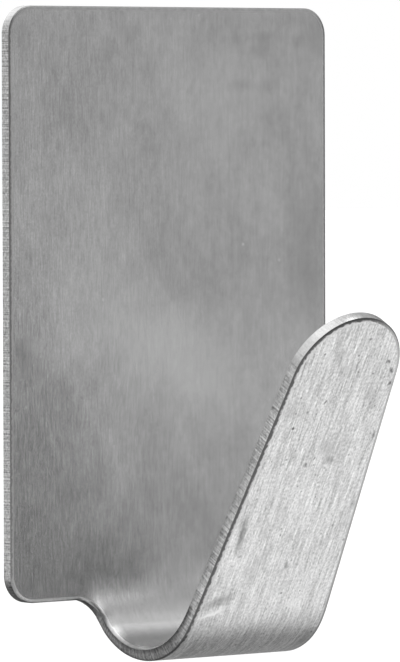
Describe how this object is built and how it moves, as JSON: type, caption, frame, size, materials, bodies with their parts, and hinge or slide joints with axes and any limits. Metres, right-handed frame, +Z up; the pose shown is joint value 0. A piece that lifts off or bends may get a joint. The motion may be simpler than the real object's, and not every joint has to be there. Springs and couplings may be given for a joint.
{
  "type": "adhesive hook",
  "caption": "Adhesive wall hook bent from one brushed stainless sheet: a rounded backplate with foam tape behind it and a tapering J-shaped tongue that carries light things.",
  "frame": {"origin": "middle of the foam tape's wall side", "axes": "+Z up, +Y into the wall, +X to the right seen from the front; the front faces -Y"},
  "size_m": [0.05, 0.0387, 0.0791],
  "materials": {
    "brushed_stainless": "stainless sheet brushed lengthwise, with plain sheared edges",
    "foam_tape": "closed-cell foam tape with an adhesive skin on both sides"
  },
  "bodies": {
    "root": {"steel_hook": "brushed_stainless", "foam_tape": "foam_tape"}
  },
  "joints": []
}
